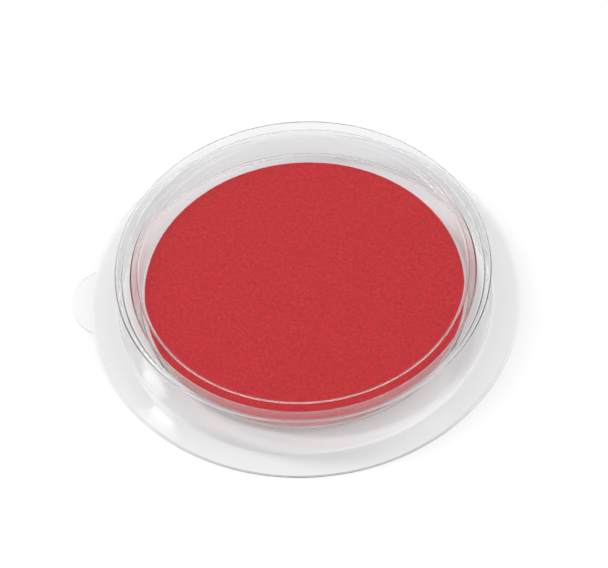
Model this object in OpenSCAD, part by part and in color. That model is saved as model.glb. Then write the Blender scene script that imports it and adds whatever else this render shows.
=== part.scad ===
// Round stamp ink pad: an ink-soaked foam disc glued into a clear formed tray,
// under a clear formed lid that drops over the tray's ring and lifts off by a pull tab.
// Millimetres. +Z is up, the origin is the centre of the underside, the tab is on -X.

/* [Box] */
// Diameter of the lid's flange, the widest round part
flange_d = 150; // [148:0.5:154]
// Height of the closed box, from the table to the top of the ring
box_h = 20.4; // [19:0.1:22]
// Thickness of the clear sheet that the tray and the lid are formed from
sheet_t = 0.5; // [0.4:0.05:0.6]

/* [Lid] */
// Diameter of the lid's flat panel, at the top of the ring round it
lid_mouth_d = 115; // [112:0.5:116]
// Depth of the panel below the top of the ring
lid_recess = 1.1; // [0.9:0.1:1.3]
// Draft of the low step between the panel and the ring, in degrees
lid_step_draft = 30; // [25:1:35]
// Diameter of the ring's outer edge on the lid, at the top
lid_ring_d = 130.4; // [130.2:0.1:133]
// Draft of the lid's outer skirt, in degrees
lid_skirt_draft = 1; // [1:0.5:3]
// Gap between the lid's flange and the tray's
seat_gap = 0.1; // [0.05:0.05:0.2]
// Gap between the lid's ring and the tray's
ring_gap = 1.6; // [1.4:0.1:2]

/* [Pull tab] */
// Width of the pull tab
tab_w = 29; // [28:0.5:32]
// How far the pull tab stands out past the flange
tab_reach = 6.5; // [6:0.5:7.5]
// Radius of the tab's two outer corners, which nearly meet
tab_corner_r = 13.6; // [12:0.1:13.8]
// Radius of the hollow curves where the tab meets the flange
tab_neck_r = 2; // [1:0.5:4]

/* [Tray] */
// Diameter of the tray's flange, just inside the lid's
tray_flange_d = 148; // [142:0.5:148]
// Diameter of the tray's well, at the top of the ring
well_mouth_d = 119.6; // [119:0.1:120]
// Diameter of the ring's outer edge on the tray, at the top
tray_ring_d = 126; // [125.6:0.1:126.2]
// Draft of the tray's outer skirt, in degrees
tray_skirt_draft = 5; // [3:0.5:5]
// Draft of the tray's well, in degrees
well_draft = 12; // [10:0.5:12]
// Height of the well's floor above the table, to its underside
floor_rise = 4; // [3:0.5:5]

/* [Foam pad] */
// Diameter of the foam pad
foam_d = 111.6; // [108:0.1:111.8]
// Thickness of the foam pad
foam_t = 3.7; // [3:0.1:5]
// Diameter of the disc of adhesive under the foam
adhesive_d = 104; // [80:1:106]
// Thickness of the disc of adhesive
adhesive_t = 0.2; // [0.1:0.05:0.3]

/* [Bends] */
// Upper face's radius at the foot of each wall
foot_bend_r = 1.2; // [0.8:0.1:1.4]
// Upper face's radius at the ring's inner edge
inner_bend_r = 0.9; // [0.7:0.1:1.2]
// Upper face's radius at the ring's outer edge
outer_bend_r = 1.1; // [0.7:0.1:1.5]

/* [Hidden] */
$fn = 96;
// Straight steps in each bend
BEND_STEPS = 6;
// How far the tab's plate runs in under the flange's edge
TAB_OVERLAP = 2;
// How far the neck curves run into the round edges they join, so that the outlines cross
NECK_BITE = 0.05;
CLEAR = [0.9, 0.93, 0.95, 0.35];
FILM = [0.95, 0.95, 0.92, 0.6];
INK_RED = [0.76, 0.2, 0.23];

lid_flange_z = sheet_t + seat_gap + sheet_t;
tray_h = box_h - sheet_t - ring_gap;
well_floor_z = floor_rise + sheet_t;
flange_r = flange_d / 2;

// Unit vector along v
function unit(v) = v / norm(v);

// The direction to the right of direction u
function right_of(u) = [u[1], -u[0]];

// 1 where a path that runs along u and then along w turns left, -1 where it turns right
function side(u, w) = sign(u[0] * w[1] - u[1] * w[0]);

// v turned anticlockwise by a degrees
function turned(v, a) = [v[0] * cos(a) - v[1] * sin(a), v[0] * sin(a) + v[1] * cos(a)];

// The same list from its last item to its first
function reversed(list) = [for (i = [len(list) - 1 : -1 : 0]) list[i]];

// Corner i of a list of corners [x, z, r], without its r
function place(corners, i) = [corners[i][0], corners[i][1]];

// Points of the arc of radius r that rounds corner b of the path a, b, c
function bend(a, b, c, r) =
    let (u = unit(b - a),
         w = unit(c - b),
         sweep = acos(u * w) * side(u, w),
         start = b - u * r * tan(abs(sweep) / 2),
         spoke = right_of(u) * r * side(u, w))
    [for (i = [0 : BEND_STEPS]) start - spoke + turned(spoke, sweep * i / BEND_STEPS)];

// The path through a list of corners [x, z, r], with all but its ends rounded by r
function rounded(corners) =
    let (last = len(corners) - 1)
    concat([place(corners, 0)],
           [for (i = [1 : last - 1])
               each bend(place(corners, i - 1), place(corners, i), place(corners, i + 1),
                         corners[i][2])],
           [place(corners, last)]);

// Corner b of the path a, b, c, moved t to the path's right, with the radius to match
function beside(a, b, c, r, t) =
    let (u = unit(b - a),
         w = unit(c - b),
         both = right_of(u) + right_of(w),
         moved = b + both * 2 * t / (both * both))
    [moved[0], moved[1], r + t * side(u, w)];

// The corners of a sheet's lower face, t under its upper face, whose two ends are level
function underside(corners, t) =
    let (last = len(corners) - 1)
    concat([place(corners, 0) - [0, t]],
           [for (i = [1 : last - 1])
               beside(place(corners, i - 1), place(corners, i), place(corners, i + 1),
                      corners[i][2], t)],
           [place(corners, last) - [0, t]]);

// Where circles of radius ra about a and rb about b cross, left of the way from a to b
function crossing(a, ra, b, rb) =
    let (u = unit(b - a),
         gap = norm(b - a),
         along = (ra * ra - rb * rb + gap * gap) / (2 * gap))
    a + u * along - right_of(u) * sqrt(ra * ra - along * along);

// A round formed sheet: a sunk middle, its wall, a raised ring, its skirt and a flange.
// Heights and radii are those of the upper face.
module formed_sheet(middle_z, wall_draft, mouth_r, ring_z, ring_r, skirt_draft, flange_z,
                    edge_r) {
    middle_r = mouth_r - (ring_z - middle_z) * tan(wall_draft);
    foot_r = ring_r + (ring_z - flange_z) * tan(skirt_draft);
    upper = [[0, middle_z, 0],
             [middle_r, middle_z, foot_bend_r],
             [mouth_r, ring_z, inner_bend_r],
             [ring_r, ring_z, outer_bend_r],
             [foot_r, flange_z, foot_bend_r],
             [edge_r, flange_z, 0]];
    rotate_extrude()
        polygon(concat(rounded(upper), reversed(rounded(underside(upper, sheet_t)))));
}

// Outline of the pull tab on +X: a round-cornered lobe and its two hollow neck curves
module tab_outline() {
    corner = [flange_r + tab_reach - tab_corner_r, tab_w / 2 - tab_corner_r];
    reach = tab_neck_r - NECK_BITE;
    neck = crossing([0, 0], flange_r + reach, corner, tab_corner_r + reach);
    difference() {
        union() {
            translate([0, -corner[1]])
                square([flange_r + tab_reach, 2 * corner[1]]);
            for (half = [0, 1])
                mirror([0, half]) {
                    translate(corner)
                        circle(r = tab_corner_r);
                    difference() {
                        polygon([[0, 0], corner, neck]);
                        translate(neck)
                            circle(r = tab_neck_r);
                    }
                }
        }
        circle(r = flange_r - TAB_OVERLAP);
    }
}

module base_tray()
    color(CLEAR)
        formed_sheet(well_floor_z, well_draft, well_mouth_d / 2, tray_h, tray_ring_d / 2,
                     tray_skirt_draft, sheet_t, tray_flange_d / 2);

module adhesive_disc()
    color(FILM)
        translate([0, 0, well_floor_z])
            cylinder(d = adhesive_d, h = adhesive_t);

module foam_pad()
    color(INK_RED)
        translate([0, 0, well_floor_z + adhesive_t])
            cylinder(d = foam_d, h = foam_t);

module lid()
    color(CLEAR) {
        formed_sheet(box_h - lid_recess, lid_step_draft, lid_mouth_d / 2, box_h,
                     lid_ring_d / 2, lid_skirt_draft, lid_flange_z, flange_r);
        translate([0, 0, lid_flange_z - sheet_t])
            rotate([0, 0, 180])
                linear_extrude(height = sheet_t)
                    tab_outline();
    }

base_tray();
adhesive_disc();
foam_pad();
lid();
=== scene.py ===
import math

import bpy
import numpy as np
from bpy.props import FloatProperty, FloatVectorProperty, IntProperty, PointerProperty
from mathutils import Matrix, Vector


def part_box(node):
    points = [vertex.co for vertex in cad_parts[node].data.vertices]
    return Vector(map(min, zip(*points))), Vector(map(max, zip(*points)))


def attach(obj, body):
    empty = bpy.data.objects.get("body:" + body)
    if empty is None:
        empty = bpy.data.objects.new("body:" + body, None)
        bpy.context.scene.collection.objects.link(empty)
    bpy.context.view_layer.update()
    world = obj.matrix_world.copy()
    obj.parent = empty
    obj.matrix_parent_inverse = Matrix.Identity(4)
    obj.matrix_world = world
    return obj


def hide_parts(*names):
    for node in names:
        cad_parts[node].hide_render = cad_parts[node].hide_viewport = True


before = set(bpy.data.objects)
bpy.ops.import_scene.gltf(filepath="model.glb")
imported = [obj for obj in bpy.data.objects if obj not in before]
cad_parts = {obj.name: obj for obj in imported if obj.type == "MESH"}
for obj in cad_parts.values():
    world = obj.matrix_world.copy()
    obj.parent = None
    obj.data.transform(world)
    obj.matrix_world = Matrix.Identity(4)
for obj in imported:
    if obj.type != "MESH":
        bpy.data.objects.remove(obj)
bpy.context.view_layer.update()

bl_info = {
    "name": "Round ink pad",
    "version": (1, 0, 0),
    "blender": (4, 5, 0),
    "location": "3D View > Sidebar > Ink pad",
    "description": "Builds a round foam ink pad in its clear formed tray and lid",
    "category": "Add Mesh",
}

MM = 0.001
TRAY_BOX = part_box("base_tray")
LID_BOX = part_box("lid")
FOAM_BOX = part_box("foam_pad")
GLUE_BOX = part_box("adhesive_disc")
SHEET_T = 0.5 * MM
FLOOR_Z = GLUE_BOX[0][2]
LID_FLANGE_R = (LID_BOX[1][1] - LID_BOX[0][1]) / 2
# Points nearer than WELD are joined, and TINY keeps a division from being by nothing.
WELD = 0.002 * MM
TINY = 1e-9


# ------------------------------ settings


class FormedSheetSettings(bpy.types.PropertyGroup):
    """Sizes and finish that the clear tray and the clear lid share."""

    foot_bend: FloatProperty(
        name="Foot bend", description="Upper face's radius at the foot of each wall",
        default=1.2 * MM, unit="LENGTH")
    inner_bend: FloatProperty(
        name="Inner bend", description="Upper face's radius at the ring's inner edge",
        default=0.9 * MM, unit="LENGTH")
    outer_bend: FloatProperty(
        name="Outer bend", description="Upper face's radius at the ring's outer edge",
        default=1.1 * MM, unit="LENGTH")
    cut_bend: FloatProperty(
        name="Cut edge", description="Radius of the flange's cut edge",
        default=0.16 * MM, unit="LENGTH")
    turn_steps: IntProperty(
        name="Steps round", description="Steps in one turn of a formed sheet",
        default=480, min=48)
    bend_steps: IntProperty(
        name="Steps in a bend", description="Straight steps in each bend",
        default=7, min=2)
    tint: FloatVectorProperty(
        name="Clear tint", description="Colour of the light that the sheet lets through",
        default=(0.985, 0.992, 0.995), subtype="COLOR", size=3)
    bending: FloatProperty(
        name="Light bending", description="Refractive index of the sheet",
        default=1.3, min=1)
    roughness: FloatProperty(
        name="Roughness", description="Roughness of clean sheet",
        default=0.03, min=0, max=1)
    scratch_roughness: FloatProperty(
        name="Scratch roughness", description="Roughness that a scratch adds",
        default=0.1, min=0, max=1)
    scratch_gap: FloatProperty(
        name="Scratch gap", description="Distance between hairline scratches",
        default=12 * MM, unit="LENGTH")
    ripple_gap: FloatProperty(
        name="Ripple gap", description="Distance between the surface's low ripples",
        default=14 * MM, unit="LENGTH")
    ripple_height: FloatProperty(
        name="Ripple height", description="Height of the surface's low ripples",
        default=0.2 * MM, unit="LENGTH")
    ripple_strength: FloatProperty(
        name="Ripple strength", description="How strongly the ripples shade",
        default=0.25, min=0, max=1)


class TraySettings(bpy.types.PropertyGroup):
    """Sizes of the clear tray that holds the foam."""

    mouth_r: FloatProperty(
        name="Well radius", description="Radius of the well at the top of the ring",
        default=59.8 * MM, unit="LENGTH")
    wall_draft: FloatProperty(
        name="Well draft", description="Lean of the well's wall",
        default=math.radians(12), subtype="ANGLE")
    ring_r: FloatProperty(
        name="Ring radius", description="Radius of the ring's outer edge at the top",
        default=63 * MM, unit="LENGTH")
    skirt_draft: FloatProperty(
        name="Skirt draft", description="Lean of the outer skirt",
        default=math.radians(5), subtype="ANGLE")
    flutter: FloatProperty(
        name="Flange flutter", description="How far the flange waves up off the table",
        default=0.04 * MM, unit="LENGTH")
    flutter_rate: FloatProperty(
        name="Flutter rate", description="Waves of the flange in a metre", default=18)
    flutter_gap: FloatProperty(
        name="Flutter gap", description="Distance from the ring to where the waves start",
        default=3 * MM, unit="LENGTH")
    face_length: FloatProperty(
        name="Face length", description="Length of a face on the sheet's straight parts",
        default=6 * MM, unit="LENGTH")
    softness: FloatProperty(
        name="Edge softness", description="How far sheet that is seen edge on is softened",
        default=0.7, min=0, max=1)
    wave_seed: FloatProperty(name="Wave seed", description="Choice of the flange's waves", default=2)
    mark_seed: FloatProperty(name="Mark seed", description="Choice of the sheet's marks", default=0.3)


class LidSettings(bpy.types.PropertyGroup):
    """Sizes of the clear lid and its pull tab."""

    mouth_r: FloatProperty(
        name="Panel radius", description="Radius of the sunk panel at the top of the ring",
        default=57.5 * MM, unit="LENGTH")
    wall_draft: FloatProperty(
        name="Step draft", description="Lean of the low step down to the panel",
        default=math.radians(30), subtype="ANGLE")
    ring_r: FloatProperty(
        name="Ring radius", description="Radius of the ring's outer edge at the top",
        default=65.2 * MM, unit="LENGTH")
    skirt_draft: FloatProperty(
        name="Skirt draft", description="Lean of the outer skirt",
        default=math.radians(1), subtype="ANGLE")
    recess: FloatProperty(
        name="Recess", description="Depth of the panel below the top of the ring",
        default=1.1 * MM, unit="LENGTH")
    flutter: FloatProperty(
        name="Flange flutter", description="How far the flange waves up",
        default=0.35 * MM, unit="LENGTH")
    flutter_rate: FloatProperty(
        name="Flutter rate", description="Waves of the flange in a metre", default=14)
    flutter_gap: FloatProperty(
        name="Flutter gap", description="Distance from the ring to where the waves start",
        default=2.2 * MM, unit="LENGTH")
    dome: FloatProperty(
        name="Dome", description="How far the sunk panel bows up",
        default=0.25 * MM, unit="LENGTH")
    dome_r: FloatProperty(
        name="Dome radius", description="Radius of the part of the panel that bows up",
        default=54 * MM, unit="LENGTH")
    face_length: FloatProperty(
        name="Face length", description="Length of a face on the sheet's straight parts",
        default=4 * MM, unit="LENGTH")
    crowding: FloatProperty(
        name="Crowding", description="How far the steps round crowd towards the tab",
        default=0.6, min=0, max=0.9)
    softness: FloatProperty(
        name="Edge softness", description="How far sheet that is seen edge on is softened",
        default=0.3, min=0, max=1)
    wave_seed: FloatProperty(name="Wave seed", description="Choice of the flange's waves", default=5)
    mark_seed: FloatProperty(name="Mark seed", description="Choice of the sheet's marks", default=0.8)
    tab_width: FloatProperty(
        name="Tab width", description="Width of the pull tab",
        default=29 * MM, unit="LENGTH")
    tab_corner_r: FloatProperty(
        name="Tab corners", description="Radius of the tab's outer corners",
        default=13.6 * MM, unit="LENGTH")
    tab_neck_r: FloatProperty(
        name="Tab necks", description="Radius of the hollows where the tab leaves the flange",
        default=2 * MM, unit="LENGTH")
    tab_lift: FloatProperty(
        name="Tab lift", description="How far the tab's tip bends up",
        default=0.5 * MM, unit="LENGTH")


class FoamSettings(bpy.types.PropertyGroup):
    """Sizes and colour of the inked foam."""

    rings: IntProperty(
        name="Rings", description="Rings of faces from the middle to the edge of the foam's top",
        default=125, min=20)
    edge_r: FloatProperty(
        name="Edge", description="Radius of the foam's soft upper edge",
        default=0.5 * MM, unit="LENGTH")
    waist: FloatProperty(
        name="Waist", description="How far the cut side draws in at half height",
        default=0.2 * MM, unit="LENGTH")
    pore: FloatProperty(
        name="Pore size", description="Distance between the foam's larger pores",
        default=1.3 * MM, unit="LENGTH")
    pore_depth: FloatProperty(
        name="Pore depth", description="Depth of the foam's larger pores",
        default=0.16 * MM, unit="LENGTH")
    unevenness: FloatProperty(
        name="Unevenness", description="How far the foam's surface dips over a wide area",
        default=0.1 * MM, unit="LENGTH")
    pore_seed: FloatProperty(name="Pore seed", description="Choice of the pores", default=1)
    ink: FloatVectorProperty(
        name="Ink", description="Colour of the inked foam",
        default=(0.465, 0.006, 0.012), subtype="COLOR", size=3)
    speck: FloatProperty(
        name="Speck size", description="Distance between the foam's dark and pale specks",
        default=1.2 * MM, unit="LENGTH")
    blotch: FloatProperty(
        name="Blotch size", description="Distance between the foam's broad blotches",
        default=9 * MM, unit="LENGTH")
    contrast: FloatProperty(
        name="Contrast", description="How far specks are darker and paler than the ink",
        default=0.23, min=0, max=1)
    dryness: FloatProperty(
        name="Dryness", description="White that the paler specks add to the ink",
        default=0.006, min=0, max=1)


class AdhesiveSettings(bpy.types.PropertyGroup):
    """Sizes and colours of the adhesive disc."""

    inset: FloatProperty(
        name="Inset", description="Gap from the film to the sheet and to the foam",
        default=0.01 * MM, unit="LENGTH")
    edge_r: FloatProperty(
        name="Edge", description="Radius of the film's cut edge",
        default=0.05 * MM, unit="LENGTH")
    face_length: FloatProperty(
        name="Face length", description="Length of a face on the film",
        default=8 * MM, unit="LENGTH")
    edge_steps: IntProperty(
        name="Steps in the edge", description="Straight steps in the film's edge",
        default=2, min=2)
    milky: FloatVectorProperty(
        name="Milky", description="Colour of the film where it hasn't wetted out",
        default=(0.82, 0.78, 0.72), subtype="COLOR", size=3)
    wetted: FloatVectorProperty(
        name="Wetted", description="Colour of the film where it has wetted out",
        default=(0.72, 0.62, 0.58), subtype="COLOR", size=3)
    speck: FloatProperty(
        name="Speck size", description="Distance between the film's clearer specks",
        default=2.5 * MM, unit="LENGTH")
    blotch: FloatProperty(
        name="Blotch size", description="Distance between the film's patches",
        default=14 * MM, unit="LENGTH")


class StageSettings(bpy.types.PropertyGroup):
    """The camera and the studio."""

    elevation: FloatProperty(
        name="Elevation", description="Height of the camera as an angle above the table",
        default=math.radians(53), subtype="ANGLE")
    azimuth: FloatProperty(
        name="Azimuth", description="Turn of the camera about the pad, from straight in front",
        default=math.radians(3.9), subtype="ANGLE")
    roll: FloatProperty(
        name="Roll", description="Turn of the camera about its own line of sight",
        default=math.radians(4), subtype="ANGLE")
    distance: FloatProperty(
        name="Distance", description="Distance from the camera to the pad",
        default=1.38, unit="LENGTH")
    lens: FloatProperty(
        name="Lens", description="Focal length of the camera's lens in millimetres",
        default=235, min=10)
    key_power: FloatProperty(
        name="Key light", description="Power of the light on the left, in watts",
        default=10, unit="POWER")
    key_place: FloatVectorProperty(
        name="Key place", description="Where the light on the left stands",
        default=(-1.0, 0.25, 1.25), subtype="TRANSLATION", size=3)
    key_breadth: FloatProperty(
        name="Key breadth", description="Breadth of the light on the left",
        default=0.36, unit="LENGTH")
    fill_power: FloatProperty(
        name="Fill light", description="Power of the light on the right, in watts",
        default=10, unit="POWER")
    fill_place: FloatVectorProperty(
        name="Fill place", description="Where the light on the right stands",
        default=(1.3, -0.5, 1.3), subtype="TRANSLATION", size=3)
    fill_breadth: FloatProperty(
        name="Fill breadth", description="Breadth of the light on the right",
        default=1.2, unit="LENGTH")
    walls: FloatProperty(
        name="Studio walls", description="Brightness of the white walls round the table",
        default=1.46, min=0)
    ceiling: FloatProperty(
        name="Studio ceiling", description="Brightness of the ceiling above the table",
        default=0.45, min=0)
    walls_end: FloatProperty(
        name="Walls end", description="Height, as a sine, where the walls start to darken",
        default=0.35, min=0, max=1)
    ceiling_start: FloatProperty(
        name="Ceiling start", description="Height, as a sine, where the ceiling starts",
        default=0.72, min=0, max=1)
    table_half: FloatProperty(
        name="Table half width", description="Half the width of the table top",
        default=4, unit="LENGTH")
    table_gap: FloatProperty(
        name="Table gap", description="Gap that keeps the pad's flange off the table top",
        default=0.05 * MM, unit="LENGTH")
    bounces: IntProperty(
        name="Bounces", description="Sheet faces that a ray of light may pass", default=24, min=4)


# ------------------------------ node helpers


def put(tree, kind, inputs=None, **settings):
    """Adds a node, with its settings, and with its inputs set to values or linked to sockets."""
    made = tree.nodes.new(kind)
    made.location = (180 * len(tree.nodes), 0)
    for name, value in settings.items():
        setattr(made, name, value)
    for key, value in (inputs or {}).items():
        if isinstance(value, bpy.types.NodeSocket):
            tree.links.new(value, made.inputs[key])
        else:
            made.inputs[key].default_value = value
    return made


def calc(tree, operation, *values):
    """The output of a Math node on the given values or sockets."""
    return put(tree, "ShaderNodeMath", dict(enumerate(values)), operation=operation).outputs[0]


def whole(tree, operation, *values):
    """The output of an Integer Math node on the given values or sockets."""
    made = put(tree, "FunctionNodeIntegerMath", dict(enumerate(values)), operation=operation)
    return made.outputs[0]


def noise(tree, vector, scale, detail=2.0, roughness=0.5):
    """The value of a Noise Texture node."""
    return put(tree, "ShaderNodeTexNoise", {"Vector": vector, "Scale": scale, "Detail": detail,
                                            "Roughness": roughness}).outputs[0]


def ramped(tree, value, low, high, start=0.0, end=1.0):
    """value taken smoothly from start to end as it goes from low to high."""
    made = put(tree, "ShaderNodeMapRange", {"Value": value, "From Min": low, "From Max": high,
                                            "To Min": start, "To Max": end},
               interpolation_type="SMOOTHSTEP")
    return made.outputs["Result"]


def blended(tree, mask, first, second, mode="MIX"):
    """Colour first taken to second by mask."""
    made = put(tree, "ShaderNodeMix", data_type="RGBA", blend_type=mode)
    for index, value in ((0, mask), (6, first), (7, second)):
        if isinstance(value, bpy.types.NodeSocket):
            tree.links.new(value, made.inputs[index])
        else:
            made.inputs[index].default_value = value
    return made.outputs[2]


def new_group(name, kind, inputs, outputs):
    """A node group with named sockets. inputs and outputs are (name, socket type, default)."""
    tree = bpy.data.node_groups.new(name, kind)
    for direction, sockets in (("INPUT", inputs), ("OUTPUT", outputs)):
        for title, socket, default in sockets:
            made = tree.interface.new_socket(name=title, in_out=direction, socket_type=socket)
            if default is not None:
                made.default_value = default
    return tree, tree.nodes.new("NodeGroupInput").outputs, tree.nodes.new("NodeGroupOutput").inputs


def end_tree(tree, geometry, given, made):
    """Ends a geometry tree: smooth shading, real geometry and the tree's own material."""
    smooth = put(tree, "GeometryNodeSetShadeSmooth", {"Geometry": geometry}).outputs[0]
    real = put(tree, "GeometryNodeRealizeInstances", {"Geometry": smooth}).outputs[0]
    done = put(tree, "GeometryNodeSetMaterial", {"Geometry": real, "Material": given["Material"]})
    tree.links.new(done.outputs[0], made["Mesh"])
    return tree


def grow(profile, tree, values):
    """The plain mesh that a geometry tree makes of a mesh, with the tree's inputs set by name."""
    holder = bpy.data.objects.new("growing", profile)
    bpy.context.scene.collection.objects.link(holder)
    modifier = holder.modifiers.new("grow", "NODES")
    modifier.node_group = tree
    for item in tree.interface.items_tree:
        if item.item_type == "SOCKET" and item.in_out == "INPUT" and item.name in values:
            modifier[item.identifier] = values[item.name]
    graph = bpy.context.evaluated_depsgraph_get()
    mesh = bpy.data.meshes.new_from_object(holder.evaluated_get(graph))
    bpy.data.objects.remove(holder)
    return mesh


def show(mesh, name, body, replaces):
    """Puts a finished mesh in the scene as the piece that stands for a node."""
    mesh.name = name
    piece = bpy.data.objects.new(name, mesh)
    bpy.context.scene.collection.objects.link(piece)
    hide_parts(replaces)
    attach(piece, body)
    return piece


# ------------------------------ formed sheets


def turned_sheet_tree():
    """Geometry nodes that round a profile's corners and turn it about the upright axis."""
    tree, given, made = new_group(
        "Turned sheet", "GeometryNodeTree",
        [("Profile", "NodeSocketGeometry", None),
         ("Bend Steps", "NodeSocketInt", 7),
         ("Turn Steps", "NodeSocketInt", 480),
         ("Crowding", "NodeSocketFloat", 0.6),
         ("Flutter", "NodeSocketFloat", 0.0),
         ("Flutter Scale", "NodeSocketFloat", 18.0),
         ("Flange Start", "NodeSocketFloat", 0.06),
         ("Flange End", "NodeSocketFloat", 0.07),
         ("Dome", "NodeSocketFloat", 0.0),
         ("Dome Radius", "NodeSocketFloat", 0.05),
         ("Seed", "NodeSocketFloat", 0.0),
         ("Material", "NodeSocketMaterial", None)],
        [("Mesh", "NodeSocketGeometry", None)])

    line = put(tree, "GeometryNodeMeshToCurve", {"Mesh": given["Profile"]}).outputs[0]
    radius = put(tree, "GeometryNodeInputNamedAttribute", {"Name": "bend"}, data_type="FLOAT")
    line = put(tree, "GeometryNodeFilletCurve",
               {"Curve": line, "Count": given["Bend Steps"], "Radius": radius.outputs[0],
                "Limit Radius": False}, mode="POLY").outputs[0]
    count = put(tree, "GeometryNodeAttributeDomainSize", {"Geometry": line},
                component="CURVE").outputs["Point Count"]

    columns = whole(tree, "ADD", given["Turn Steps"], 1)
    grid = put(tree, "GeometryNodeMeshGrid",
               {"Vertices X": count, "Vertices Y": columns}).outputs["Mesh"]
    index = put(tree, "GeometryNodeInputIndex").outputs[0]
    place = put(tree, "GeometryNodeInputPosition").outputs[0]
    on_line = put(tree, "GeometryNodeSampleIndex",
                  {"Geometry": line, "Value": place,
                   "Index": whole(tree, "DIVIDE_FLOOR", index, columns)},
                  data_type="FLOAT_VECTOR", domain="POINT").outputs[0]
    out, _, up = put(tree, "ShaderNodeSeparateXYZ", {0: on_line}).outputs

    # Steps are even in the share of the turn, and crowd towards -X, where the tab is.
    share = calc(tree, "DIVIDE", whole(tree, "MODULO", index, columns), given["Turn Steps"])
    even = calc(tree, "MULTIPLY_ADD", share, math.tau, -math.pi)
    angle = calc(tree, "MULTIPLY_ADD", calc(tree, "SINE", even), given["Crowding"], even)
    x = calc(tree, "MULTIPLY", out, calc(tree, "COSINE", angle))
    y = calc(tree, "MULTIPLY", out, calc(tree, "SINE", angle))
    turned = put(tree, "GeometryNodeSetPosition",
                 {"Geometry": grid,
                  "Position": put(tree, "ShaderNodeCombineXYZ", {0: x, 1: y, 2: up}).outputs[0]})

    x, y, _ = put(tree, "ShaderNodeSeparateXYZ", {0: place}).outputs
    reach = calc(tree, "SQRT", calc(tree, "MULTIPLY_ADD", x, x, calc(tree, "MULTIPLY", y, y)))
    where = put(tree, "ShaderNodeCombineXYZ", {0: x, 1: y, 2: given["Seed"]}).outputs[0]
    wave = noise(tree, where, given["Flutter Scale"], 1.0)
    on_flange = ramped(tree, reach, given["Flange Start"], given["Flange End"])
    flutter = calc(tree, "MULTIPLY", calc(tree, "MULTIPLY", wave, given["Flutter"]), on_flange)
    part = calc(tree, "DIVIDE", reach, given["Dome Radius"])
    rise = calc(tree, "MAXIMUM", calc(tree, "SUBTRACT", 1.0, calc(tree, "MULTIPLY", part, part)), 0.0)
    lift = calc(tree, "MULTIPLY_ADD", rise, given["Dome"], flutter)
    bowed = put(tree, "GeometryNodeSetPosition",
                {"Geometry": turned.outputs[0],
                 "Offset": put(tree, "ShaderNodeCombineXYZ", {2: lift}).outputs[0]})

    joined = put(tree, "GeometryNodeMergeByDistance",
                 {"Geometry": bowed.outputs[0], "Distance": WELD}).outputs[0]
    return end_tree(tree, joined, given, made)


def lower_corner(before, corner, after, thickness):
    """A corner moved to the right of the path by the sheet's thickness, with its bend to match."""
    a, b, c = (np.array(p[:2]) for p in (before, corner, after))
    u = (b - a) / np.linalg.norm(b - a)
    w = (c - b) / np.linalg.norm(c - b)
    both = np.array([u[1], -u[0]]) + np.array([w[1], -w[0]])
    moved = b + both * 2 * thickness / (both @ both)
    return (*moved, corner[2] + thickness * np.sign(u[0] * w[1] - u[1] * w[0]))


def divided(corners, step):
    """The same path, with plain points added so that none is further than step from the next."""
    path = [corners[0]]
    for start, end in zip(corners, corners[1:]):
        pieces = max(1, round(math.dist(start[:2], end[:2]) / step))
        for i in range(1, pieces):
            share = i / pieces
            path.append((start[0] + (end[0] - start[0]) * share,
                         start[1] + (end[1] - start[1]) * share, 0.0))
        path.append(end)
    return path


def sheet_corners(shape, size, middle_z, ring_z, flange_z, edge_r):
    """Corners (radius, height, bend) round a formed sheet's section, from its middle and back."""
    middle_r = size.mouth_r - (ring_z - middle_z) * math.tan(size.wall_draft)
    foot_r = size.ring_r + (ring_z - flange_z) * math.tan(size.skirt_draft)
    upper = [(0.0, middle_z, 0.0),
             (middle_r, middle_z, shape.foot_bend),
             (size.mouth_r, ring_z, shape.inner_bend),
             (size.ring_r, ring_z, shape.outer_bend),
             (foot_r, flange_z, shape.foot_bend),
             (edge_r, flange_z, shape.cut_bend)]
    lower = [(0.0, middle_z - SHEET_T, 0.0)]
    lower += [lower_corner(upper[i - 1], upper[i], upper[i + 1], SHEET_T) for i in range(1, 5)]
    lower += [(edge_r, flange_z - SHEET_T, shape.cut_bend)]
    return upper + lower[::-1]


def line_mesh(name, corners):
    """A mesh of edges through the corners, which keeps each one's bend as an attribute."""
    mesh = bpy.data.meshes.new(name)
    mesh.from_pydata([(x, 0.0, z) for x, z, _ in corners],
                     [(i, i + 1) for i in range(len(corners) - 1)], [])
    bend = mesh.attributes.new("bend", "FLOAT", "POINT")
    bend.data.foreach_set("value", [c[2] for c in corners])
    return mesh


def face_out(mesh):
    """Turns a closed mesh's faces round if they point inwards."""
    mesh.calc_loop_triangles()
    volume = 0.0
    for triangle in mesh.loop_triangles:
        a, b, c = (mesh.vertices[i].co for i in triangle.vertices)
        volume += a.dot(b.cross(c))
    if volume < 0:
        mesh.flip_normals()


def turn_sheet(corners, step, values):
    """The mesh of a profile turned about Z by the geometry nodes."""
    mesh = grow(line_mesh("profile", divided(corners, step)), turned_sheet_tree(), values)
    face_out(mesh)
    return mesh


def circles_cross(a, ra, b, rb):
    """Where two circles cross, on the left of the way from a to b."""
    gap = b - a
    far = np.linalg.norm(gap)
    u = gap / far
    along = (ra * ra - rb * rb + far * far) / (2 * far)
    return a + u * along + np.array([-u[1], u[0]]) * math.sqrt(ra * ra - along * along)


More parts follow.
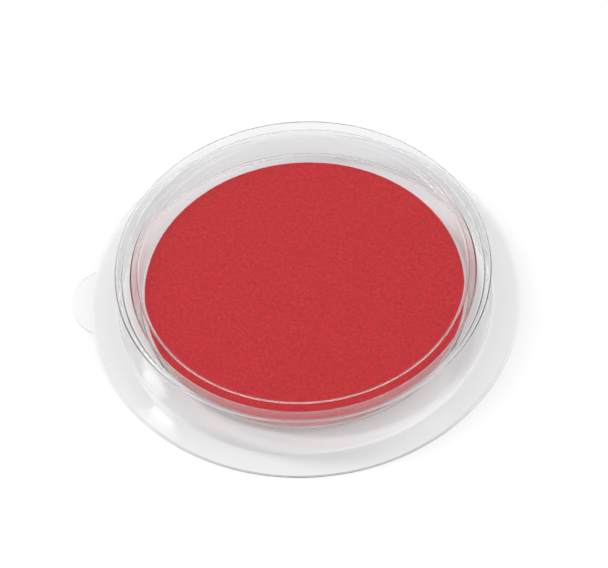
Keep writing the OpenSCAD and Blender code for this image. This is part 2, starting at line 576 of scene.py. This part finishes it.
def lid_outline(angle, size, reach):
    """Radius of the lid's outline at angles from the middle of the pull tab."""
    flange = LID_FLANGE_R
    corner = np.array([flange + reach - size.tab_corner_r, size.tab_width / 2 - size.tab_corner_r])
    neck = circles_cross(np.zeros(2), flange + size.tab_neck_r,
                         corner, size.tab_corner_r + size.tab_neck_r)
    meet = corner + (neck - corner) * size.tab_corner_r / (size.tab_corner_r + size.tab_neck_r)
    ends = [math.atan2(corner[1], flange + reach), math.atan2(meet[1], meet[0]),
            math.atan2(neck[1], neck[0])]
    angle = np.abs(angle)
    way = np.stack([np.cos(angle), np.sin(angle)])
    to_corner = corner @ way
    to_neck = neck @ way
    outer = (flange + reach) / np.cos(angle)
    round_corner = to_corner + np.sqrt(np.maximum(
        to_corner**2 - corner @ corner + size.tab_corner_r**2, 0))
    hollow = to_neck - np.sqrt(np.maximum(to_neck**2 - neck @ neck + size.tab_neck_r**2, 0))
    plain = np.full_like(angle, flange)
    return np.select([angle < ends[0], angle < ends[1], angle < ends[2]],
                     [outer, round_corner, hollow], plain)


def draw_out_tab(mesh, size, start_r):
    """Draws the flange out into the pull tab on -X and bends the tab's tip up."""
    reach = -LID_BOX[0][0] - LID_FLANGE_R
    points = np.empty(len(mesh.vertices) * 3)
    mesh.vertices.foreach_get("co", points)
    points = points.reshape(-1, 3)
    out = np.hypot(points[:, 0], points[:, 1])
    angle = np.arctan2(points[:, 1], -points[:, 0])
    share = np.clip((out - start_r) / (LID_FLANGE_R - start_r), 0, 1)
    grown = out + (lid_outline(angle, size, reach) - LID_FLANGE_R) * share
    points[:, :2] *= (grown / np.maximum(out, TINY))[:, None]
    past = np.clip((grown - LID_FLANGE_R) / reach, 0, 1)
    points[:, 2] += size.tab_lift * past**2
    mesh.vertices.foreach_set("co", points.ravel())
    mesh.update()


# ------------------------------ foam


# The foam's top is laid out in equal sectors, and each ring has one more step in each of them.
SECTORS = 8
EDGE_STEPS = 3
SIDE_STEPS = 10
# Rings of the flat base, as shares of the foam's radius.
BASE_SHARES = (0.97, 0.75, 0.5, 0.25)


def foam_mesh(size):
    """A disc of foam: even rings of faces on top, a soft edge, a waisted side and a flat base."""
    low, high = FOAM_BOX
    radius = (high[0] - low[0]) / 2
    base_z, top_z = low[2], high[2]
    flat_r = radius - size.edge_r
    points = [(0.0, 0.0, top_z)]
    faces = []
    starts = [0]

    def add_ring(r, z, count):
        starts.append(len(points))
        points.extend((r * math.cos(math.tau * i / count), r * math.sin(math.tau * i / count), z)
                      for i in range(count))

    for ring in range(1, size.rings + 1):
        add_ring(flat_r * ring / size.rings, top_z, SECTORS * ring)
    for ring in range(1, size.rings + 1):
        outer, inner = starts[ring], starts[ring - 1]
        count, within = SECTORS * ring, max(SECTORS * (ring - 1), 1)
        for part in range(SECTORS):
            for i in range(ring):
                a = outer + part * ring + i
                b = outer + (part * ring + i + 1) % count
                c = inner + (part * (ring - 1) + i) % within
                faces.append((c, a, b))
                if i < ring - 1:
                    faces.append((c, b, inner + (part * (ring - 1) + i + 1) % within))

    count = SECTORS * size.rings
    side_top = top_z - size.edge_r
    section = [(flat_r + size.edge_r * math.sin(a), side_top + size.edge_r * math.cos(a))
               for a in np.linspace(0, math.pi / 2, EDGE_STEPS + 1)[1:]]
    section += [(radius - size.waist * math.sin(math.pi * s), side_top + (base_z - side_top) * s)
                for s in np.linspace(0, 1, SIDE_STEPS + 1)[1:]]
    section += [(radius * s, base_z) for s in BASE_SHARES]
    for r, z in section:
        add_ring(r, z, count)
        last, now = starts[-2], starts[-1]
        faces += [(last + i, now + i, now + (i + 1) % count, last + (i + 1) % count)
                  for i in range(count)]
    pole = len(points)
    points.append((0.0, 0.0, base_z))
    faces += [(starts[-1] + i, pole, starts[-1] + (i + 1) % count) for i in range(count)]
    mesh = bpy.data.meshes.new("foam")
    mesh.from_pydata(points, [], faces)
    return mesh


# A pit falls from its rim to its floor, at these shares of the distance between pores.
PIT_FLOOR = 0.12
PIT_RIM = 0.55
# The noise that picks the deep pits, and the broad dips, change more slowly than the pits.
PICK_RATE = 0.6
PICK_RANGE = (0.35, 0.7)
DIP_RATE = 0.12


def foam_pores_tree():
    """Geometry nodes that sink pores into a foam's surface and keep their depth as an attribute."""
    tree, given, made = new_group(
        "Foam pores", "GeometryNodeTree",
        [("Mesh", "NodeSocketGeometry", None),
         ("Pore Size", "NodeSocketFloat", 0.001),
         ("Pore Depth", "NodeSocketFloat", 0.0001),
         ("Unevenness", "NodeSocketFloat", 0.0001),
         ("Seed", "NodeSocketFloat", 0.0),
         ("Material", "NodeSocketMaterial", None)],
        [("Mesh", "NodeSocketGeometry", None)])
    place = put(tree, "GeometryNodeInputPosition").outputs[0]
    moved = put(tree, "ShaderNodeVectorMath", {0: place, 1: put(
        tree, "ShaderNodeCombineXYZ", {0: given["Seed"]}).outputs[0]}, operation="ADD").outputs[0]
    often = calc(tree, "DIVIDE", 1.0, given["Pore Size"])
    cell = put(tree, "ShaderNodeTexVoronoi", {"Vector": moved, "Scale": often}).outputs["Distance"]
    pit = ramped(tree, cell, PIT_FLOOR, PIT_RIM, 1.0, 0.0)
    choice = noise(tree, moved, calc(tree, "MULTIPLY", often, PICK_RATE))
    deep = ramped(tree, choice, *PICK_RANGE)
    pore = calc(tree, "MULTIPLY", pit, deep)
    broad = noise(tree, moved, calc(tree, "MULTIPLY", often, DIP_RATE), 3.0)
    sunk = calc(tree, "MULTIPLY_ADD", pore, given["Pore Depth"],
                calc(tree, "MULTIPLY", broad, given["Unevenness"]))
    normal = put(tree, "GeometryNodeInputNormal").outputs[0]
    offset = put(tree, "ShaderNodeVectorMath",
                 {0: normal, "Scale": calc(tree, "MULTIPLY", sunk, -1.0)}, operation="SCALE")
    kept = put(tree, "GeometryNodeStoreNamedAttribute",
               {"Geometry": given["Mesh"], "Name": "pore", "Value": pore},
               data_type="FLOAT", domain="POINT").outputs[0]
    pitted = put(tree, "GeometryNodeSetPosition",
                 {"Geometry": kept, "Offset": offset.outputs[0]}).outputs[0]
    return end_tree(tree, pitted, given, made)


# ------------------------------ shader groups


# Where noise turns from none to all: specks have firmer edges than blotches.
SPECK_RANGE = (0.38, 0.62)
BLOTCH_RANGE = (0.3, 0.7)
# Each set of scratches has a turn in radians and a stretch along its length.
SCRATCH_LAYS = ((0.4, 0.06), (1.9, 0.09), (2.7, 0.05))
# A scratch runs where the noise comes this near to its middle value.
SCRATCH_REACH = 0.006
# Scratches are kept in patches, which change more slowly than the scratches.
PATCH_RATE = 0.8
PATCH_RANGE = (0.5, 0.65)


def speckle_group():
    """Fine grain: a mask of specks and a softer mask of blotches."""
    tree, given, made = new_group(
        "Speckle", "ShaderNodeTree",
        [("Vector", "NodeSocketVector", None),
         ("Speck Size", "NodeSocketFloat", 0.001),
         ("Blotch Size", "NodeSocketFloat", 0.01)],
        [("Specks", "NodeSocketFloat", None),
         ("Blotches", "NodeSocketFloat", None)])
    specks = noise(tree, given["Vector"], calc(tree, "DIVIDE", 1.0, given["Speck Size"]), 3.0, 0.65)
    blotches = noise(tree, given["Vector"],
                     calc(tree, "DIVIDE", 1.0, given["Blotch Size"]), 4.0, 0.6)
    tree.links.new(ramped(tree, specks, *SPECK_RANGE), made["Specks"])
    tree.links.new(ramped(tree, blotches, *BLOTCH_RANGE), made["Blotches"])
    return tree


def handling_group():
    """What handling leaves on clear sheet: hairline scratches and a low ripple of the surface."""
    tree, given, made = new_group(
        "Handling marks", "ShaderNodeTree",
        [("Vector", "NodeSocketVector", None),
         ("Scratch Spacing", "NodeSocketFloat", 0.02),
         ("Ripple Size", "NodeSocketFloat", 0.02)],
        [("Scratches", "NodeSocketFloat", None),
         ("Ripple", "NodeSocketFloat", None)])
    often = calc(tree, "DIVIDE", 1.0, given["Scratch Spacing"])
    lines = []
    for turn, stretch in SCRATCH_LAYS:
        lay = put(tree, "ShaderNodeMapping",
                  {"Vector": given["Vector"], "Rotation": (0.0, 0.0, turn),
                   "Scale": (1.0, stretch, 1.0)}).outputs[0]
        thread = noise(tree, lay, often, 4.0, 0.7)
        off = calc(tree, "ABSOLUTE", calc(tree, "SUBTRACT", thread, 0.5))
        lines.append(ramped(tree, off, 0.0, SCRATCH_REACH, 1.0, 0.0))
    any_line = calc(tree, "MAXIMUM", calc(tree, "MAXIMUM", lines[0], lines[1]), lines[2])
    patches = noise(tree, given["Vector"], calc(tree, "MULTIPLY", often, PATCH_RATE))
    kept = calc(tree, "MULTIPLY", any_line, ramped(tree, patches, *PATCH_RANGE))
    ripple = noise(tree, given["Vector"], calc(tree, "DIVIDE", 1.0, given["Ripple Size"]))
    tree.links.new(kept, made["Scratches"])
    tree.links.new(ripple, made["Ripple"])
    return tree


def shared_group(name, build):
    """The node group of that name, built the first time that it is asked for."""
    return bpy.data.node_groups.get(name) or build()


# ------------------------------ materials


def new_material(name):
    """An empty node material, with its output and its object coordinates."""
    material = bpy.data.materials.new(name)
    material.use_nodes = True
    tree = material.node_tree
    tree.nodes.clear()
    end = put(tree, "ShaderNodeOutputMaterial").inputs["Surface"]
    place = put(tree, "ShaderNodeTexCoord").outputs["Object"]
    return material, tree, place, end


# The share of light that a face of the sheet turns back head on, and how fast that grows.
HEAD_ON_LOSS = 0.04
LOSS_POWER = 5.0
# Where sheet counts as seen edge on, from 0 for head on to 1 for edge on.
EDGE_ON_RANGE = (0.5, 0.95)


def clear_sheet_material(name, shape, size):
    """Clear formed sheet: glass to the eye, and a tinted window to the light on what is in it."""
    material, tree, place, end = new_material(name)
    moved = (size.mark_seed, size.mark_seed, 0.0)
    own = put(tree, "ShaderNodeMapping", {"Vector": place, "Location": moved})
    marks = put(tree, "ShaderNodeGroup",
                {"Vector": own.outputs[0], "Scratch Spacing": shape.scratch_gap,
                 "Ripple Size": shape.ripple_gap},
                node_tree=shared_group("Handling marks", handling_group))
    rough = calc(tree, "MULTIPLY_ADD", marks.outputs["Scratches"],
                 shape.scratch_roughness, shape.roughness)
    bump = put(tree, "ShaderNodeBump",
               {"Height": marks.outputs["Ripple"], "Strength": shape.ripple_strength,
                "Distance": shape.ripple_height})
    clear = put(tree, "ShaderNodeBsdfPrincipled",
                {"Base Color": (*shape.tint, 1.0), "Roughness": rough,
                 "Transmission Weight": 1.0, "IOR": shape.bending, "Normal": bump.outputs[0]})

    # Schlick's rule: each face passes nearly all of a lamp's light head on, and none edge on.
    facing = put(tree, "ShaderNodeLayerWeight", {"Blend": 0.5}).outputs["Facing"]
    grown = calc(tree, "POWER", facing, LOSS_POWER)
    lost = calc(tree, "MULTIPLY_ADD", grown, 1.0 - HEAD_ON_LOSS, HEAD_ON_LOSS)
    ray = put(tree, "ShaderNodeLightPath").outputs
    passed = calc(tree, "SUBTRACT", 1.0, calc(tree, "MULTIPLY", lost, ray["Is Shadow Ray"]))
    window = put(tree, "ShaderNodeBsdfTransparent", {"Color": put(
        tree, "ShaderNodeCombineColor", {0: passed, 1: passed, 2: passed}).outputs[0]})
    lights = calc(tree, "MAXIMUM", ray["Is Shadow Ray"], ray["Is Diffuse Ray"])
    # Seen edge on, thin sheet is softened the same way, or its bends draw hard dark lines.
    soft = ramped(tree, facing, *EDGE_ON_RANGE, 0.0, size.softness)
    lights = calc(tree, "MAXIMUM", lights, soft)
    mixed = put(tree, "ShaderNodeMixShader",
                {0: lights, 1: clear.outputs[0], 2: window.outputs[0]})
    tree.links.new(mixed.outputs[0], end)
    return material


# How far the foam's blotches even out its specks, and how far painted shade darkens its pores.
BLOTCH_COVER = 0.35
PORE_PAINTED_SHADE = 0.55
FINE_GRAIN = 0.35 * MM
FINE_GRAIN_HEIGHT = 0.12 * MM
FINE_GRAIN_STRENGTH = 0.6
# The foam's least roughness, and what its pale specks add.
FOAM_ROUGHNESS = 0.6
SPECK_ROUGHNESS = 0.2


def inked_foam_material(size):
    """Fine open foam, wet with ink: painted shade darkens its pores, and paler specks show where it
    is drier.
    """
    material, tree, place, end = new_material("inked foam")
    grain = put(tree, "ShaderNodeGroup",
                {"Vector": place, "Speck Size": size.speck, "Blotch Size": size.blotch},
                node_tree=shared_group("Speckle", speckle_group))
    pore = put(tree, "ShaderNodeAttribute", attribute_name="pore").outputs["Fac"]
    full = (*size.ink, 1.0)
    deep = tuple((1.0 - size.contrast) * c for c in size.ink) + (1.0,)
    pale = tuple(min(1.0, (1.0 + size.contrast) * c + size.dryness) for c in size.ink) + (1.0,)
    colour = blended(tree, grain.outputs["Specks"], deep, pale)
    colour = blended(tree, calc(tree, "MULTIPLY", grain.outputs["Blotches"], BLOTCH_COVER),
                     colour, full)
    # Painted shade: the sunk pores are taken towards the deep colour.
    colour = blended(tree, calc(tree, "MULTIPLY", pore, PORE_PAINTED_SHADE), colour, deep)
    fine = noise(tree, place, 1 / FINE_GRAIN, 3.0, 0.7)
    bump = put(tree, "ShaderNodeBump",
               {"Height": fine, "Strength": FINE_GRAIN_STRENGTH, "Distance": FINE_GRAIN_HEIGHT})
    rough = calc(tree, "MULTIPLY_ADD", grain.outputs["Specks"], SPECK_ROUGHNESS, FOAM_ROUGHNESS)
    foam = put(tree, "ShaderNodeBsdfPrincipled",
               {"Base Color": colour, "Roughness": rough, "Specular IOR Level": 0.25,
                "Normal": bump.outputs[0]})
    tree.links.new(foam.outputs[0], end)
    return material


# The film's least cover, and the cover that its specks add.
FILM_COVER = 0.3
FILM_SPECK_COVER = 0.35


def adhesive_material(size):
    """Milky transfer film, clearer in patches where it has wetted out."""
    material, tree, place, end = new_material("transfer film")
    grain = put(tree, "ShaderNodeGroup",
                {"Vector": place, "Speck Size": size.speck, "Blotch Size": size.blotch},
                node_tree=shared_group("Speckle", speckle_group))
    colour = blended(tree, grain.outputs["Blotches"], (*size.wetted, 1.0), (*size.milky, 1.0))
    alpha = calc(tree, "MULTIPLY_ADD", grain.outputs["Specks"], FILM_SPECK_COVER, FILM_COVER)
    film = put(tree, "ShaderNodeBsdfPrincipled",
               {"Base Color": colour, "Roughness": 0.45, "Alpha": alpha})
    tree.links.new(film.outputs[0], end)
    return material


TABLE_DULL = (0.86, 0.86, 0.86, 1.0)
TABLE_BRIGHT = (0.88, 0.88, 0.88, 1.0)


def floor_material():
    """A plain matt white table top with the faintest unevenness."""
    material, tree, place, end = new_material("white table")
    colour = blended(tree, noise(tree, place, 3.0, 3.0), TABLE_DULL, TABLE_BRIGHT)
    paint = put(tree, "ShaderNodeBsdfPrincipled",
                {"Base Color": colour, "Roughness": 0.8, "Specular IOR Level": 0.2})
    tree.links.new(paint.outputs[0], end)
    return material


# ------------------------------ operators


class INKPAD_OT_stage(bpy.types.Operator):
    """Sets up the table, the studio light and the camera"""

    bl_idname = "inkpad.stage"
    bl_label = "Stage"

    def execute(self, context):
        size = context.scene.inkpad_stage
        self.add_floor(context, size)
        self.add_walls(context, size)
        self.add_light(context, "key", size.key_power, size.key_place, size.key_breadth)
        self.add_light(context, "fill", size.fill_power, size.fill_place, size.fill_breadth)
        self.add_camera(context, size)
        context.scene.view_settings.view_transform = "Standard"
        context.scene.cycles.max_bounces = size.bounces
        context.scene.cycles.transmission_bounces = size.bounces
        context.scene.cycles.transparent_max_bounces = size.bounces
        return {"FINISHED"}

    def add_floor(self, context, size):
        """A table top just under the pad, so that no two faces lie in one plane."""
        half = size.table_half
        cuts = 8
        row = cuts + 1
        points = [(half * (2 * i / cuts - 1), half * (2 * j / cuts - 1), -size.table_gap)
                  for i in range(row) for j in range(row)]
        faces = [(i * row + j, (i + 1) * row + j, (i + 1) * row + j + 1, i * row + j + 1)
                 for i in range(cuts) for j in range(cuts)]
        mesh = bpy.data.meshes.new("table_top")
        mesh.from_pydata(points, [], faces)
        mesh.materials.append(floor_material())
        floor = bpy.data.objects.new("table_top", mesh)
        context.scene.collection.objects.link(floor)

    def add_walls(self, context, size):
        """White studio walls that darken towards the ceiling."""
        world = bpy.data.worlds.new("studio")
        world.use_nodes = True
        tree = world.node_tree
        tree.nodes.clear()
        way = put(tree, "ShaderNodeTexCoord").outputs["Generated"]
        height = put(tree, "ShaderNodeSeparateXYZ", {0: way}).outputs[2]
        level = ramped(tree, height, size.walls_end, size.ceiling_start, size.walls, size.ceiling)
        back = put(tree, "ShaderNodeBackground", {"Color": (1.0, 1.0, 1.0, 1.0),
                                                  "Strength": level})
        end = put(tree, "ShaderNodeOutputWorld")
        tree.links.new(back.outputs[0], end.inputs["Surface"])
        context.scene.world = world

    def add_light(self, context, name, power, place, breadth):
        """A large square light that faces the pad."""
        data = bpy.data.lights.new(name, "AREA")
        data.energy = power
        data.size = breadth
        lamp = bpy.data.objects.new(name, data)
        lamp.location = place
        lamp.rotation_euler = (-Vector(place)).to_track_quat("-Z", "Y").to_euler()
        context.scene.collection.objects.link(lamp)

    def add_camera(self, context, size):
        """The camera looks down at the pad from the front, with the pull tab on the left."""
        data = bpy.data.cameras.new("camera")
        data.lens = size.lens
        camera = bpy.data.objects.new("camera", data)
        aim = Vector((0.0, 0.0, LID_BOX[1][2] / 2))
        level = math.cos(size.elevation)
        back = Vector((math.sin(size.azimuth) * level, -math.cos(size.azimuth) * level,
                       math.sin(size.elevation)))
        turn = back.to_track_quat("Z", "Y").to_matrix().to_4x4()
        roll = Matrix.Rotation(-size.roll, 4, "Z")
        camera.matrix_world = Matrix.Translation(aim + back * size.distance) @ turn @ roll
        context.scene.collection.objects.link(camera)
        context.scene.camera = camera


class INKPAD_OT_tray(bpy.types.Operator):
    """Makes the clear tray: floor, well, ring, skirt and flange in one sheet"""

    bl_idname = "inkpad.tray"
    bl_label = "Clear tray"

    def execute(self, context):
        shape, size = context.scene.inkpad_sheet, context.scene.inkpad_tray
        edge_r = (TRAY_BOX[1][0] - TRAY_BOX[0][0]) / 2
        corners = sheet_corners(shape, size, FLOOR_Z, TRAY_BOX[1][2], SHEET_T, edge_r)
        mesh = turn_sheet(corners, size.face_length, {
            "Bend Steps": shape.bend_steps, "Turn Steps": shape.turn_steps, "Crowding": 0.0,
            "Flutter": size.flutter, "Flutter Scale": size.flutter_rate,
            "Flange Start": size.ring_r + size.flutter_gap, "Flange End": edge_r,
            "Seed": size.wave_seed,
            "Material": clear_sheet_material("clear tray sheet", shape, size)})
        show(mesh, "clear_tray", "tray", "base_tray")
        return {"FINISHED"}


class INKPAD_OT_lid(bpy.types.Operator):
    """Makes the clear lid: flat panel, ring, skirt, flange and pull tab in one sheet"""

    bl_idname = "inkpad.lid"
    bl_label = "Clear lid"

    def execute(self, context):
        shape, size = context.scene.inkpad_sheet, context.scene.inkpad_lid
        panel_z = LID_BOX[1][2] - size.recess
        flange_z = LID_BOX[0][2] + SHEET_T
        corners = sheet_corners(shape, size, panel_z, LID_BOX[1][2], flange_z, LID_FLANGE_R)
        flange_start = size.ring_r + size.flutter_gap
        mesh = turn_sheet(corners, size.face_length, {
            "Bend Steps": shape.bend_steps, "Turn Steps": shape.turn_steps,
            "Crowding": size.crowding, "Flutter": size.flutter,
            "Flutter Scale": size.flutter_rate, "Flange Start": flange_start,
            "Flange End": LID_FLANGE_R, "Dome": size.dome, "Dome Radius": size.dome_r,
            "Seed": size.wave_seed,
            "Material": clear_sheet_material("clear lid sheet", shape, size)})
        draw_out_tab(mesh, size, flange_start)
        show(mesh, "clear_lid", "cover", "lid")
        return {"FINISHED"}


class INKPAD_OT_foam(bpy.types.Operator):
    """Makes the foam pad that holds the ink"""

    bl_idname = "inkpad.foam"
    bl_label = "Inked foam"

    def execute(self, context):
        size = context.scene.inkpad_foam
        mesh = grow(foam_mesh(size), foam_pores_tree(), {
            "Pore Size": size.pore, "Pore Depth": size.pore_depth,
            "Unevenness": size.unevenness, "Seed": size.pore_seed,
            "Material": inked_foam_material(size)})
        face_out(mesh)
        foam = show(mesh, "inked_foam", "tray", "foam_pad")
        return {"FINISHED"}


class INKPAD_OT_adhesive(bpy.types.Operator):
    """Makes the disc of transfer film that holds the foam down"""

    bl_idname = "inkpad.adhesive"
    bl_label = "Adhesive disc"

    def execute(self, context):
        shape, size = context.scene.inkpad_sheet, context.scene.inkpad_adhesive
        low, high = GLUE_BOX
        radius = (high[0] - low[0]) / 2
        top_z = high[2] - size.inset
        base_z = low[2] + size.inset
        corners = [(0.0, top_z, 0.0), (radius, top_z, size.edge_r),
                   (radius, base_z, size.edge_r), (0.0, base_z, 0.0)]
        mesh = turn_sheet(corners, size.face_length, {
            "Bend Steps": size.edge_steps, "Turn Steps": shape.turn_steps, "Crowding": 0.0,
            "Material": adhesive_material(size)})
        show(mesh, "transfer_film", "tray", "adhesive_disc")
        return {"FINISHED"}


class INKPAD_PT_panel(bpy.types.Panel):
    """Lists the pad's pieces and their sizes"""

    bl_idname = "INKPAD_PT_panel"
    bl_label = "Ink pad"
    bl_space_type = "VIEW_3D"
    bl_region_type = "UI"
    bl_category = "Ink pad"

    def draw(self, context):
        for operator, groups in (("inkpad.stage", ["inkpad_stage"]),
                                 ("inkpad.tray", ["inkpad_sheet", "inkpad_tray"]),
                                 ("inkpad.adhesive", ["inkpad_adhesive"]),
                                 ("inkpad.foam", ["inkpad_foam"]),
                                 ("inkpad.lid", ["inkpad_lid"])):
            box = self.layout.box()
            box.operator(operator)
            for group in groups:
                settings = getattr(context.scene, group)
                for name in settings.bl_rna.properties.keys():
                    if name not in ("rna_type", "name"):
                        box.prop(settings, name)


SETTINGS = {
    "inkpad_sheet": FormedSheetSettings,
    "inkpad_tray": TraySettings,
    "inkpad_lid": LidSettings,
    "inkpad_adhesive": AdhesiveSettings,
    "inkpad_foam": FoamSettings,
    "inkpad_stage": StageSettings,
}
OPERATORS = (INKPAD_OT_stage, INKPAD_OT_tray, INKPAD_OT_adhesive, INKPAD_OT_foam, INKPAD_OT_lid)


def register():
    for kind in (*SETTINGS.values(), *OPERATORS, INKPAD_PT_panel):
        bpy.utils.register_class(kind)
    for name, kind in SETTINGS.items():
        setattr(bpy.types.Scene, name, PointerProperty(type=kind))


def unregister():
    for name in SETTINGS:
        delattr(bpy.types.Scene, name)
    for kind in (INKPAD_PT_panel, *OPERATORS[::-1], *list(SETTINGS.values())[::-1]):
        bpy.utils.unregister_class(kind)


def main():
    register()
    bpy.ops.inkpad.stage()
    bpy.ops.inkpad.tray()
    bpy.ops.inkpad.adhesive()
    bpy.ops.inkpad.foam()
    bpy.ops.inkpad.lid()


if __name__ == "__main__":
    main()
